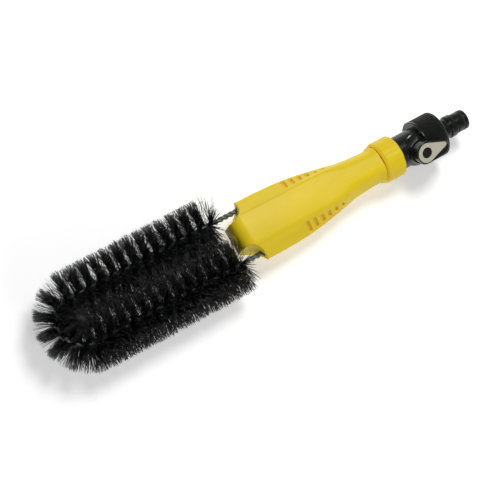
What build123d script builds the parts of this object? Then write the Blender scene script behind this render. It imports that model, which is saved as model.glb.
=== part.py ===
"""Flow-through wheel brush with a twisted-wire loop head, a split handle and a ball valve.

Frame: +X runs along the tool towards the hose, +Z stands out of the plane of the wire loop.
The origin is the middle of the hose plug's sealing barrel, on the tool's axis. Millimetres.
"""
import os
from math import cos, hypot, radians, sin

from build123d import *

os.makedirs("parts", exist_ok=True)

# ---- Clearances ------------------------------------------------------------------------------
turn_gap = 0.08         # running fit of parts that turn on each other
seat_gap = 0.05         # pieces that stay put against each other
face_gap = 0.30         # end faces of parts that turn past each other

# ---- Hose plug, from its sealing barrel towards the handle -----------------------------------
barrel_radius = 8.0
barrel_length = 5.0
ring_groove_width = 1.8
ring_groove_radius = 6.6
tip_length = 3.1
tip_chamfer = 0.9
lock_groove_width = 1.6
lock_groove_radius = 7.1
lock_ridge_length = 5.6
lock_ridge_radius = 8.9
ridge_rear_slope = 1.4
ridge_rear_drop = 0.8
ridge_front_slope = 0.8
ridge_front_drop = 0.5
relief_width = 1.4
relief_radius = 7.4
neck_length = 8.3
neck_radius = 8.2
plug_bore_radius = 4.5
plug_flange_play = 0.2  # the flange's edge inside the pipe's outside
plug_flange_width = 3.0
plug_gasket_rim = 0.5   # inside the edge of the plug's flange
plug_gasket_bore = 1.5  # outside the plug's bore
plug_ring_stand = 0.05  # how far the O-ring stands out of the barrel

# ---- Union nut -------------------------------------------------------------------------------
nut_length = 20.0
nut_radius = 18.0
nut_wall = 3.0          # the end wall behind the plug's flange
nut_ribs = 48
nut_groove_radius = 0.72
nut_groove_stand = 0.1  # centre of a groove outside the nut
nut_chamfer = 1.2

# ---- Valve -----------------------------------------------------------------------------------
pipe_radius = 13.2
pipe_length = 21.3      # bare pipe between the collar and the nut
waterway_radius = 4.0
ball_radius = 8.0
seat_start = 1.5        # a seat's start beyond the ball
seat_play = 0.9         # a seat's inner end beyond the stem's shoulder
flange_width = 3.2
flange_stand = 0.8      # the flange's edge outside the pipe
flange_play = 0.3       # the collar's inside wall outside the flange
stem_radius = 3.5
stem_square = 4.6
stem_shoulder_width = 1.1
stem_shoulder_height = 1.4
stem_ring_radius = 0.5
stem_ring_places = (2.0, 5.0)   # above the shoulder
stem_screw_floor = 0.6          # above the shoulder
tang_depth = 1.5        # how far the stem's tang reaches into the ball
tang_width = 2.4
gasket_width = 2.0
lever_offset = 15.6     # lever axis behind the collar's rear rim
lever_roll = 56.0       # lever axis, turned from the near side towards the top, degrees
boss_radius = 8.8
boss_groove_depth = 0.9
boss_groove_width = 0.8
boss_groove_drop = 1.2  # the groove's upper side below the boss's top
boss_shoulder_radius = 9.7
boss_flare = 13.0
boss_flare_middle = (0.9, 1.4)  # outside the shoulder and inside the pipe's radius
boss_root = 4.6         # inside the pipe's radius

# ---- Lever -----------------------------------------------------------------------------------
lever_thickness = 5.65
lever_end_radius = 5.7
lever_end_reach = 14.3
lever_end_drop = 2.0
inlay_radius = 7.8
inlay_end_radius = 2.0
inlay_reach = 16.3
inlay_depth = 1.2
cap_radius = 4.3
cap_thickness = 1.2
cap_recess = 0.6
screw_head_radius = 2.6
screw_head_height = 1.2
lever_screw_radius = 1.25
lever_screw_length = 7.0
lever_web = 0.6         # left between the screw's head and the stem's square
lever_cross = (3.0, 0.7)        # length and width of the screw's cross recess
lever_cross_depth = 0.6
lever_edge = 0.7
inlay_edge = 0.25
cap_edge = 0.4

# ---- Collar ----------------------------------------------------------------------------------
collar_length = 16.7
collar_radius = 16.55
collar_front_radius = 15.2
collar_flare = 2.4      # length of the rounded front edge
collar_flare_slope = 0.9
collar_chamfer = 0.8
collar_flutes = 12
collar_flute_depth = 0.35
collar_flute_radius = 5.0
collar_wall = 2.5
thread_radius = 12.6    # the spigot of the handle that the collar screws on to

# ---- Handle ----------------------------------------------------------------------------------
handle_length = 131.8
wall = 2.4
seam_gap = 0.1
bite_radius = 15.5      # the two hollows beside the nose
bite_reach = 0.5        # centre of a hollow behind the nose face
bite_spread = 26.0      # centre of a hollow from the axis
nose_round = 10.0       # rounding of the nose above and below
least_corner = 0.6      # corner radius of the hollow inside, where the wall leaves less
# Sections: share of the length from the nose, half width, half height, half width of the
# flat top, corner radius.
handle_sections = (
    (0.00, 25.3, 14.5, 12.2, 2.2),
    (0.20, 25.4, 14.6, 12.2, 2.2),
    (0.36, 24.7, 14.4, 12.2, 2.3),
    (0.50, 22.8, 14.1, 12.3, 2.6),
    (0.60, 20.5, 13.9, 12.4, 3.2),
    (0.69, 18.3, 13.8, 12.1, 5.0),
    (0.76, 16.6, 13.7, 10.5, 8.5),
    (0.85, 15.9, 13.65, 8.8, 11.5),
    (0.96, 15.7, 13.6, 7.85, 13.3),
    (1.00, 17.8, 13.6, 8.9, 12.4),
)
slot_count = 6
slot_start = 0.420      # share of the handle's length at the first slot
slot_end = 0.675
slot_lengths = (11.6, 3.6)
slot_widths = (3.2, 2.6)
slot_depth = 1.3
slot_lean = 13.0        # turn of a slot from square, its lower end towards the hose, degrees
slot_drop = 0.9         # middle of a slot below the middle of the facet
rib_shares = (0.30, 0.62)
rib_width = 2.0
boss_shares = (0.17, 0.70)
boss_spread = 9.8
handle_boss_radius = 4.0
handle_screw_radius = 1.5
handle_screw_head = 2.9
handle_screw_head_height = 2.2
handle_screw_seat = 8.0
handle_screw_reach = 8.0
handle_screw_room = 0.5
handle_cross = (3.6, 0.8)
handle_cross_depth = 1.2

# ---- Water tube and nozzle -------------------------------------------------------------------
tube_radius = 5.0
tube_bore_radius = 3.5
tube_socket = 8.0       # length of tube inside each socket
tube_seal_radius = 0.46
spigot_radius = 7.8
spigot_length = 18.0
nozzle_radius = 6.4
nozzle_length = 11.0
nozzle_face = 2.2
nozzle_flange_radius = 7.6
nozzle_flange_width = 1.6
jet_radius = 0.6
jet_circle = 3.0
jet_count = 6

# ---- Wire loop and bristles ------------------------------------------------------------------
leg_spacing = 37.0
strand_radius = 1.0
strand_gap = 0.01
loop_reach = 150.0      # nose face to the far side of the loop's centre line
wire_grip = 47.5        # length of wire inside the handle, behind the nose face
ferrule_length = 14.0
ferrule_radius = 2.9
bristle_radius = 22.5
bristle_tip_reach = 16.5
near_bristle_gap = 3.5  # nose face to the first bristles, near leg
far_bristle_gap = 8.5
bristle_bore = 2.4

# ---- Stations along the axis -----------------------------------------------------------------
barrel_end_x = barrel_length / 2
tip_start_x = barrel_end_x + ring_groove_width
plug_tip_x = tip_start_x + tip_length
lock_groove_x = -barrel_end_x - lock_groove_width
lock_ridge_x = lock_groove_x - lock_ridge_length
relief_x = lock_ridge_x - relief_width
nut_rear_x = relief_x - neck_length
nut_front_x = nut_rear_x - nut_length
plug_flange_rear_x = nut_rear_x - nut_wall - face_gap
plug_flange_x = plug_flange_rear_x - plug_flange_width
valve_rear_x = plug_flange_x - gasket_width
collar_rear_x = nut_front_x - pipe_length
collar_front_x = collar_rear_x - collar_length
flange_rear_x = collar_rear_x - collar_wall - face_gap
flange_x = flange_rear_x - flange_width
thread_end_x = flange_x - gasket_width
handle_rear_x = collar_front_x - face_gap
nose_x = handle_rear_x - handle_length
lever_x = collar_rear_x + lever_offset
leg_y = leg_spacing / 2
loop_centre_x = nose_x - loop_reach + leg_y

# ---- Levels along the lever's axis -----------------------------------------------------------
boss_top = nut_radius + seat_gap
lever_bottom = boss_top + face_gap
lever_top = lever_bottom + lever_thickness
cap_top = lever_top - cap_recess
screw_top = cap_top - cap_thickness
screw_seat = screw_top - screw_head_height
square_top = screw_seat - lever_web
tang_bottom = ball_radius - tang_depth
stem_shoulder_radius = stem_radius + stem_shoulder_width
stem_shoulder_top = ball_radius + stem_shoulder_height
seat_depth = ball_radius + seat_start - stem_shoulder_radius - seat_play
ball_cavity_radius = ball_radius + face_gap
plug_flange_radius = pipe_radius - plug_flange_play
flange_radius = max(pipe_radius + flange_stand, thread_radius)

lever_axis = Vector(0, -cos(radians(lever_roll)), sin(radians(lever_roll)))
lever_plane = Plane(origin=(lever_x, 0, 0), x_dir=(1, 0, 0), z_dir=lever_axis)


def cross_plane(x):
    """Plane square to the tool's axis at x, with its own X along +Y and its own Y along +Z."""
    return Plane(origin=(x, 0, 0), x_dir=(0, 1, 0), z_dir=(1, 0, 0))


def lever_level(height):
    """Plane square to the lever's axis, at a height above the tool's axis."""
    return lever_plane.offset(height)


def station(share):
    """Position along the axis of a share of the handle's length from the nose."""
    return nose_x + share * handle_length


def save(piece, name):
    """Label a finished piece and write it."""
    piece.part.label = name
    export_step(piece.part, f"parts/{name}.step")


def ring(start, length, outer, inner):
    """A plain ring round the tool's axis."""
    with BuildPart() as made:
        with BuildSketch(cross_plane(start)):
            Circle(outer)
            Circle(inner, mode=Mode.SUBTRACT)
        extrude(amount=length)
    return made


def turned(points):
    """A body turned round the tool's axis from (x, radius) points."""
    with BuildPart() as made:
        with BuildSketch(Plane.XY):
            with BuildLine():
                Polyline(*points, close=True)
            make_face()
        revolve(axis=Axis.X)
    return made


# ---- Handle shells ---------------------------------------------------------------------------
def inset_section(half_width, half_height, flat, corner, inset):
    """Vertices and corner radius of one handle section, drawn in by inset."""
    slope = hypot(half_height, half_width - flat)
    across = half_height / slope
    up = (half_width - flat) / slope
    reach = across * half_width - inset
    top = half_height - inset
    top_half = (reach - up * top) / across
    side = reach / across
    return (side, top_half, top), max(corner - inset, least_corner)


def handle_loft(first_x, inset):
    """The handle's six-sided form, which turns round towards the neck."""
    with BuildPart() as form:
        for share, half_width, half_height, flat, corner in handle_sections:
            (side, top_half, top), radius = inset_section(half_width, half_height, flat, corner, inset)
            place = max(station(share), first_x)
            with BuildSketch(cross_plane(place)):
                with BuildLine():
                    Polyline(
                        (side, 0), (top_half, top), (-top_half, top),
                        (-side, 0), (-top_half, -top), (top_half, -top), close=True,
                    )
                make_face()
                fillet(vertices(), radius)
        loft(ruled=True)
    return form


def nose_cutter(inset):
    """What the rounded nose leaves off above and below, with the nose drawn in by inset."""
    nose_half_height = handle_sections[0][2]
    with BuildPart() as cutter:
        with BuildSketch(Plane.XZ):
            with Locations((nose_x + nose_round, nose_half_height - nose_round)):
                Rectangle(2 * nose_round, 2 * nose_round, align=(Align.MAX, Align.MIN))
                Circle(nose_round - inset, mode=Mode.SUBTRACT)
        extrude(amount=2 * bite_spread, both=True)
        mirror(about=Plane.XY)
    return cutter


def facet_plane(share, side):
    """Plane on a sloping facet of the handle, its own X running down the slope."""
    upper = [s for s in handle_sections if s[0] >= share][0]
    lower = [s for s in handle_sections if s[0] <= share][-1]
    blend = (share - lower[0]) / (upper[0] - lower[0]) if upper[0] > lower[0] else 0.0
    half_width, half_height, flat = (
        low + (high - low) * blend for low, high in zip(lower[1:4], upper[1:4])
    )
    middle = Vector(station(share), side * (half_width + flat) / 2, half_height / 2)
    down = Vector(0, side * (half_width - flat), -half_height).normalized()
    out = Vector(0, side * half_height, half_width - flat).normalized()
    lean = Vector(sin(radians(slot_lean)), 0, 0)
    return Plane(origin=middle + down * slot_drop, x_dir=down * cos(radians(slot_lean)) + lean, z_dir=out)


outer_form = handle_loft(nose_x, 0)
inner_form = handle_loft(nose_x + wall, wall)

bites = [(nose_x + bite_reach, side * bite_spread) for side in (-1, 1)]
screw_places = [(station(share), side * boss_spread) for share in boss_shares for side in (-1, 1)]
ferrule_x = nose_x + wire_grip - ferrule_length
handle_cavity_end = handle_rear_x - wall

with BuildPart() as cavity:
    add(inner_form.part)
    add(nose_cutter(wall).part, mode=Mode.SUBTRACT)
    with Locations(*bites):
        Cylinder(bite_radius + wall, 4 * wall + 2 * nut_radius, mode=Mode.SUBTRACT)
    for share in rib_shares:
        with BuildSketch(cross_plane(station(share))):
            Rectangle(2 * bite_spread, 2 * nut_radius)
        extrude(amount=rib_width, mode=Mode.SUBTRACT)
    with Locations(*screw_places):
        Cylinder(handle_boss_radius, 2 * nut_radius, mode=Mode.SUBTRACT)
    with BuildSketch(cross_plane(ferrule_x - wall)):
        with Locations((-leg_y, 0), (leg_y, 0)):
            Rectangle(2 * (ferrule_radius + wall), 2 * nut_radius)
    extrude(amount=ferrule_length + 2 * wall, mode=Mode.SUBTRACT)
    with BuildSketch(cross_plane(nose_x)):
        Circle(nozzle_flange_radius + wall)
    extrude(amount=nozzle_length + wall, mode=Mode.SUBTRACT)
    with BuildSketch(cross_plane(handle_cavity_end - spigot_length)):
        Circle(2 * nut_radius)
    extrude(amount=2 * spigot_length, mode=Mode.SUBTRACT)

with BuildPart() as handle_form:
    add(outer_form.part)
    with BuildSketch(cross_plane(handle_rear_x)):
        Circle(thread_radius)
    extrude(amount=thread_end_x - handle_rear_x)
    with Locations(*bites):
        Cylinder(bite_radius, 4 * nut_radius, mode=Mode.SUBTRACT)
    add(nose_cutter(0).part, mode=Mode.SUBTRACT)
    add(cavity.part, mode=Mode.SUBTRACT)
    # the sockets of the nozzle, the tube, the valve's spigot, the ferrules and the wires
    for start, length, radius in (
        (nose_x, nozzle_length, nozzle_radius + seat_gap),
        (nose_x + nozzle_length - nozzle_flange_width - wall, nozzle_flange_width + 2 * seat_gap,
         nozzle_flange_radius + seat_gap),
        (nose_x + nozzle_length, handle_length, tube_radius + seat_gap),
        (flange_x - spigot_length - seat_gap, 2 * spigot_length, spigot_radius + seat_gap),
    ):
        with BuildSketch(cross_plane(start)):
            Circle(radius)
        extrude(amount=length, mode=Mode.SUBTRACT)
    for start, length, radius in (
        (nose_x, wire_grip + wall, 2 * strand_radius + 2 * seat_gap),
        (ferrule_x - seat_gap, ferrule_length + 2 * seat_gap, ferrule_radius + seat_gap),
    ):
        with BuildSketch(cross_plane(start)):
            with Locations((-leg_y, 0), (leg_y, 0)):
                Circle(radius)
        extrude(amount=length, mode=Mode.SUBTRACT)
    # the grip slots on both facets of both shells
    for index in range(slot_count):
        along = index / (slot_count - 1)
        share = slot_start + (slot_end - slot_start) * along
        slot_length = slot_lengths[0] + (slot_lengths[1] - slot_lengths[0]) * along
        slot_width = slot_widths[0] + (slot_widths[1] - slot_widths[0]) * along
        for side in (-1, 1):
            upper_facet = facet_plane(share, side)
            with BuildSketch(upper_facet.offset(-slot_depth)) as slot:
                SlotOverall(slot_length, slot_width)
            cut = extrude(slot.sketch, amount=3 * slot_depth, mode=Mode.PRIVATE)
            add(cut, mode=Mode.SUBTRACT)
            add(cut.mirror(Plane.XY), mode=Mode.SUBTRACT)

with BuildPart() as handle_top_shell:
    add(handle_form.part)
    split(bisect_by=Plane.XY.offset(seam_gap / 2), keep=Keep.TOP)
    with Locations(*screw_places):
        Cylinder(
            handle_screw_radius + seat_gap, 2 * (handle_screw_reach + handle_screw_room), mode=Mode.SUBTRACT
        )
save(handle_top_shell, "handle_top_shell")

with BuildPart() as handle_bottom_shell:
    add(handle_form.part)
    split(bisect_by=Plane.XY.offset(-seam_gap / 2), keep=Keep.BOTTOM)
    with Locations(*screw_places):
        Cylinder(handle_screw_radius + seat_gap, 4 * nut_radius, mode=Mode.SUBTRACT)
    with Locations(Plane.XY.offset(-handle_screw_seat)):
        with Locations(*screw_places):
            Cylinder(
                handle_screw_head + seat_gap, nut_radius,
                align=(Align.CENTER, Align.CENTER, Align.MAX), mode=Mode.SUBTRACT,
            )
save(handle_bottom_shell, "handle_bottom_shell")

with BuildPart() as handle_screws:
    with BuildSketch(Plane.XY.offset(-handle_screw_seat)):
        with Locations(*screw_places):
            Circle(handle_screw_radius)
    extrude(amount=handle_screw_seat + handle_screw_reach)
    with BuildSketch(Plane.XY.offset(-handle_screw_seat - handle_screw_head_height)):
        with Locations(*screw_places):
            Circle(handle_screw_head)
    extrude(amount=handle_screw_head_height)
    with BuildSketch(Plane.XY.offset(-handle_screw_seat - handle_screw_head_height)):
        with Locations(*screw_places):
            Rectangle(*handle_cross)
            Rectangle(*reversed(handle_cross))
    extrude(amount=handle_cross_depth, mode=Mode.SUBTRACT)
save(handle_screws, "handle_screws")

# ---- Water tube, its seals and the nozzle ----------------------------------------------------
tube_front_x = nose_x + nozzle_length - tube_socket
tube_rear_x = flange_x - spigot_length + tube_socket
front_seal_x = nose_x + nozzle_length - tube_socket / 2
rear_seal_x = flange_x - spigot_length + tube_socket / 2
seal_groove_radius = tube_radius + 2 * tube_seal_radius + seat_gap
seal_groove_width = 2 * tube_seal_radius + 4 * seat_gap

water_tube = ring(tube_front_x, tube_rear_x - tube_front_x, tube_radius, tube_bore_radius)
save(water_tube, "water_tube")

with BuildPart() as tube_seals:
    for seal_x in (front_seal_x, rear_seal_x):
        with BuildSketch(Plane.XY):
            with Locations((seal_x, tube_radius + tube_seal_radius + seat_gap / 2)):
                Circle(tube_seal_radius)
        revolve(axis=Axis.X)
save(tube_seals, "tube_seals")

with BuildPart() as spray_nozzle:
    with BuildSketch(cross_plane(nose_x)):
        Circle(nozzle_radius)
    extrude(amount=nozzle_length)
    with BuildSketch(cross_plane(nose_x + nozzle_length - nozzle_flange_width - wall + seat_gap)):
        Circle(nozzle_flange_radius)
    extrude(amount=nozzle_flange_width)
    with BuildSketch(cross_plane(nose_x + nozzle_face)):
        Circle(waterway_radius)
    extrude(amount=nozzle_length, mode=Mode.SUBTRACT)
    with BuildSketch(cross_plane(tube_front_x - seat_gap)):
        Circle(tube_radius + seat_gap)
    extrude(amount=nozzle_length, mode=Mode.SUBTRACT)
    with BuildSketch(cross_plane(front_seal_x - seal_groove_width / 2)):
        Circle(seal_groove_radius)
    extrude(amount=seal_groove_width, mode=Mode.SUBTRACT)
    with BuildSketch(cross_plane(nose_x)):
        Circle(jet_radius)
        with PolarLocations(jet_circle, jet_count):
            Circle(jet_radius)
    extrude(amount=nozzle_face, mode=Mode.SUBTRACT)
save(spray_nozzle, "spray_nozzle")

# ---- Wire loop and its ferrules --------------------------------------------------------------
wire_end_x = nose_x + wire_grip


def wire_strand(height):
    """One strand of the wire loop: two straight legs joined by a half circle."""
    with BuildPart() as strand:
        with BuildLine(Plane.XY.offset(height)):
            Line((wire_end_x, -leg_y), (loop_centre_x, -leg_y))
            ThreePointArc((loop_centre_x, -leg_y), (loop_centre_x - leg_y, 0), (loop_centre_x, leg_y))
            Line((loop_centre_x, leg_y), (wire_end_x, leg_y))
        with BuildSketch(Plane(origin=(wire_end_x, -leg_y, height), z_dir=(-1, 0, 0))):
            Circle(strand_radius)
        sweep()
    return strand


for strand_name, side in (("wire_strand_a", 1), ("wire_strand_b", -1)):
    save(wire_strand(side * (strand_radius + strand_gap / 2)), strand_name)

for ferrule_name, side in (("near_wire_ferrule", -1), ("far_wire_ferrule", 1)):
    with BuildPart() as ferrule:
        with BuildSketch(cross_plane(ferrule_x)):
            with Locations((side * leg_y, 0)):
                Circle(ferrule_radius)
                Circle(2 * strand_radius + seat_gap, mode=Mode.SUBTRACT)
        extrude(amount=ferrule_length)
    save(ferrule, ferrule_name)

# ---- Bristles --------------------------------------------------------------------------------
for bristles_name, side, gap in (
    ("near_leg_bristles", -1, near_bristle_gap),
    ("far_leg_bristles", 1, far_bristle_gap),
):
    with BuildPart() as leg_bristles:
        with BuildSketch(cross_plane(loop_centre_x)):
            with Locations((side * leg_y, 0)):
                Circle(bristle_radius)
            with Locations((side * 2 * bristle_radius, 0)):
                Rectangle(4 * bristle_radius, 4 * bristle_radius, mode=Mode.INTERSECT)
            with Locations((side * leg_y, 0)):
                Circle(bristle_bore, mode=Mode.SUBTRACT)
        extrude(amount=nose_x - gap - loop_centre_x)
    save(leg_bristles, bristles_name)

tip_length_x = leg_y + bristle_tip_reach
tip_half_width = leg_y + bristle_radius
with BuildPart() as tip_bristles:
    with BuildSketch(Plane.XY.offset(-bristle_radius)):
        with Locations((loop_centre_x, 0)):
            Ellipse(tip_length_x, tip_half_width)
        with Locations((loop_centre_x - 2 * bristle_radius, 0)):
            Rectangle(4 * bristle_radius, 4 * bristle_radius, mode=Mode.INTERSECT)
    extrude(amount=2 * bristle_radius)
    rim = edges().filter_by(GeomType.ELLIPSE)
    fillet(rim, bristle_radius / 2)
    with BuildSketch(cross_plane(loop_centre_x)):
        with Locations((leg_y, 0)):
            Circle(bristle_bore)
    revolve(axis=Axis((loop_centre_x, 0, 0), (0, 0, 1)), revolution_arc=360, mode=Mode.SUBTRACT)
save(tip_bristles, "tip_bristles")

# ---- Collar nut and the gasket under it ------------------------------------------------------
flute_start_x = collar_front_x + collar_flare
with BuildPart() as collar_nut:
    with BuildSketch(Plane.XY):
        with BuildLine():
            Line((collar_front_x, 0), (collar_front_x, collar_front_radius))
            Spline(
                (collar_front_x, collar_front_radius), (flute_start_x, collar_radius),
                tangents=((1, collar_flare_slope), (1, 0)),
            )
            Polyline(
                (flute_start_x, collar_radius), (collar_rear_x - collar_chamfer, collar_radius),
                (collar_rear_x, collar_radius - collar_chamfer), (collar_rear_x, 0), (collar_front_x, 0),
            )
        make_face()
    revolve(axis=Axis.X)
    with BuildSketch(cross_plane(flute_start_x)):
        with PolarLocations(collar_radius + collar_flute_radius - collar_flute_depth, collar_flutes):
            Circle(collar_flute_radius)
    extrude(amount=collar_length, mode=Mode.SUBTRACT)
    for start, end, radius in (
        (collar_front_x, thread_end_x, thread_radius + turn_gap),
        (thread_end_x, collar_rear_x - collar_wall, flange_radius + flange_play),
        (collar_rear_x - collar_wall, collar_rear_x, pipe_radius + turn_gap),
    ):
        with BuildSketch(cross_plane(start)):
            Circle(radius)
        extrude(amount=end - start, mode=Mode.SUBTRACT)
save(collar_nut, "collar_nut")

pipe_gasket = ring(thread_end_x, gasket_width, thread_radius - seat_gap, spigot_radius + seat_gap)
save(pipe_gasket, "pipe_gasket")

# ---- Valve body ------------------------------------------------------------------------------
ball_seat_x = lever_x - ball_radius - seat_start
groove_top = -boss_top + boss_groove_drop
groove_bottom = groove_top + boss_groove_width
groove_radius = boss_radius - boss_groove_depth
flare_start = (boss_shoulder_radius, groove_bottom)
flare_middle = (boss_shoulder_radius + boss_flare_middle[0], -pipe_radius + boss_flare_middle[1])
flare_end = (boss_flare, -pipe_radius + boss_root)
with BuildPart() as valve_body:
    # the boss, flared into the pipe and cut back clear of the union nut
    with BuildSketch(Plane(origin=(lever_x, 0, 0), x_dir=(1, 0, 0), z_dir=lever_plane.y_dir)):
        with BuildLine():
            Polyline(
                (0, -boss_top), (boss_radius, -boss_top), (boss_radius, groove_top),
                (groove_radius, groove_top), (groove_radius, groove_bottom), flare_start,
            )
            ThreePointArc(flare_start, flare_middle, flare_end)
            Polyline(flare_end, (0, flare_end[1]), (0, -boss_top))
        make_face()
    revolve(axis=Axis((lever_x, 0, 0), lever_axis))
    with BuildSketch(cross_plane(nut_front_x - face_gap)):
        Circle(2 * nut_radius)
    extrude(amount=2 * nut_length, mode=Mode.SUBTRACT)
    for start, end, radius in (
        (flange_x - spigot_length, flange_x, spigot_radius),
        (flange_x, flange_rear_x, flange_radius),
        (flange_rear_x, valve_rear_x, pipe_radius),
    ):
        with BuildSketch(cross_plane(start)):
            Circle(radius)
        extrude(amount=end - start)
    for start, end, radius in (
        (flange_x - spigot_length, ball_seat_x + seat_depth, waterway_radius),
        (flange_x - spigot_length, tube_rear_x + seat_gap, tube_radius + seat_gap),
        (rear_seal_x - seal_groove_width / 2, rear_seal_x + seal_groove_width / 2, seal_groove_radius),
        (ball_seat_x, valve_rear_x, ball_cavity_radius),
    ):
        with BuildSketch(cross_plane(start)):
            Circle(radius)
        extrude(amount=end - start, mode=Mode.SUBTRACT)
    for height, radius in (
        (stem_shoulder_top + face_gap, stem_shoulder_radius + turn_gap),
        (boss_top, stem_radius + turn_gap),
    ):
        with BuildSketch(lever_plane):
            Circle(radius)
        extrude(amount=height, mode=Mode.SUBTRACT)
save(valve_body, "valve_body")

# ---- Ball, seats and retainer ----------------------------------------------------------------
seat_radius = ball_cavity_radius - seat_gap
with BuildPart() as front_ball_seat:
    with BuildSketch(cross_plane(ball_seat_x)):
        Circle(seat_radius)
        Circle(waterway_radius, mode=Mode.SUBTRACT)
    extrude(amount=seat_depth)
    with Locations((lever_x, 0, 0)):
        Sphere(ball_radius + turn_gap, mode=Mode.SUBTRACT)
save(front_ball_seat, "front_ball_seat")

with BuildPart() as rear_ball_seat:
    mirror(front_ball_seat.part, about=cross_plane(lever_x))
save(rear_ball_seat, "rear_ball_seat")

retainer_x = 2 * lever_x - ball_seat_x + seat_gap
seat_retainer = ring(retainer_x, valve_rear_x - retainer_x, seat_radius, waterway_radius)
save(seat_retainer, "seat_retainer")

with BuildPart() as valve_ball:
    with Locations((lever_x, 0, 0)):
        Sphere(ball_radius)
    with BuildSketch(cross_plane(lever_x - 2 * ball_radius)):
        Circle(waterway_radius)
    extrude(amount=4 * ball_radius, mode=Mode.SUBTRACT)
    with BuildSketch(lever_level(tang_bottom)):
        Rectangle(3 * ball_radius, tang_width + 2 * seat_gap)
    extrude(amount=ball_radius, mode=Mode.SUBTRACT)
save(valve_ball, "valve_ball")

# ---- Stem and its O-rings --------------------------------------------------------------------
stem_ring_heights = [stem_shoulder_top + place for place in stem_ring_places]
stem_ring_centre = stem_radius + turn_gap / 2 - stem_ring_radius
with BuildPart() as valve_stem:
    with BuildSketch(lever_level(tang_bottom + seat_gap)):
        Rectangle(2 * stem_radius, tang_width)
    extrude(amount=stem_shoulder_top - tang_bottom - seat_gap)
    with BuildSketch(lever_level(ball_radius + seat_gap)):
        Circle(stem_shoulder_radius)
    extrude(amount=stem_shoulder_top - ball_radius - seat_gap)
    with BuildSketch(lever_level(stem_shoulder_top)):
        Circle(stem_radius)
    extrude(amount=boss_top - stem_shoulder_top)
    with BuildSketch(lever_level(boss_top)):
        Rectangle(stem_square, stem_square)
    extrude(amount=square_top - seat_gap - boss_top)
    for height in stem_ring_heights:
        with BuildSketch(lever_level(height - stem_ring_radius - seat_gap)):
            Circle(stem_radius)
            Circle(stem_ring_centre - stem_ring_radius - seat_gap / 2, mode=Mode.SUBTRACT)
        extrude(amount=2 * (stem_ring_radius + seat_gap), mode=Mode.SUBTRACT)
    with BuildSketch(lever_level(stem_shoulder_top + stem_screw_floor)):
        Circle(lever_screw_radius + seat_gap)
    extrude(amount=lever_top, mode=Mode.SUBTRACT)
save(valve_stem, "valve_stem")

with BuildPart() as stem_o_rings:
    for height in stem_ring_heights:
        with BuildSketch(Plane(origin=(lever_x, 0, 0), x_dir=(1, 0, 0), z_dir=-lever_plane.y_dir)):
            with Locations((stem_ring_centre, height)):
                Circle(stem_ring_radius)
        revolve(axis=Axis((lever_x, 0, 0), lever_axis))
save(stem_o_rings, "stem_o_rings")

# ---- Lever, inlay, screw and cap -------------------------------------------------------------
inlay_floor = lever_top - inlay_depth
with BuildPart() as lever:
    with BuildSketch(lever_level(lever_bottom)):
        Circle(boss_radius)
        with Locations((lever_end_reach, -lever_end_drop)):
            Circle(lever_end_radius)
        make_hull()
    extrude(amount=lever_thickness)
    lever_rim = faces().sort_by(Axis((lever_x, 0, 0), lever_axis))[-1].edges()
    fillet(lever_rim, lever_edge)
    with BuildSketch(lever_level(inlay_floor)):
        Circle(inlay_radius + seat_gap)
        with Locations((inlay_reach, 0)):
            Circle(inlay_end_radius + seat_gap)
        make_hull()
    extrude(amount=lever_thickness, mode=Mode.SUBTRACT)
    for height, radius in (
        (screw_top, cap_radius + seat_gap),
        (screw_seat, screw_head_radius + seat_gap),
        (lever_bottom, lever_screw_radius + seat_gap),
    ):
        with BuildSketch(lever_level(height)):
            Circle(radius)
        extrude(amount=lever_thickness, mode=Mode.SUBTRACT)
    with BuildSketch(lever_level(lever_bottom)):
        Rectangle(stem_square + 2 * seat_gap, stem_square + 2 * seat_gap)
    extrude(amount=square_top - lever_bottom, mode=Mode.SUBTRACT)
save(lever, "lever")

with BuildPart() as lever_inlay:
    with BuildSketch(lever_level(inlay_floor)):
        Circle(inlay_radius)
        with Locations((inlay_reach, 0)):
            Circle(inlay_end_radius)
        make_hull()
        Circle(cap_radius + seat_gap, mode=Mode.SUBTRACT)
    extrude(amount=inlay_depth)
    inlay_rim = faces().sort_by(Axis((lever_x, 0, 0), lever_axis))[-1].edges()
    fillet(inlay_rim, inlay_edge)
save(lever_inlay, "lever_inlay")

with BuildPart() as lever_screw:
    with BuildSketch(lever_level(screw_seat)):
        Circle(screw_head_radius)
    extrude(amount=screw_head_height)
    with BuildSketch(lever_level(screw_seat - lever_screw_length)):
        Circle(lever_screw_radius)
    extrude(amount=lever_screw_length)
    with BuildSketch(lever_level(screw_top - lever_cross_depth)):
        Rectangle(*lever_cross)
        Rectangle(*reversed(lever_cross))
    extrude(amount=lever_cross_depth, mode=Mode.SUBTRACT)
save(lever_screw, "lever_screw")

with BuildPart() as lever_cap:
    with BuildSketch(lever_level(screw_top)):
        Circle(cap_radius)
    extrude(amount=cap_thickness)
    cap_rim = faces().sort_by(Axis((lever_x, 0, 0), lever_axis))[-1].edges()
    fillet(cap_rim, cap_edge)
save(lever_cap, "lever_cap")

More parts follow.
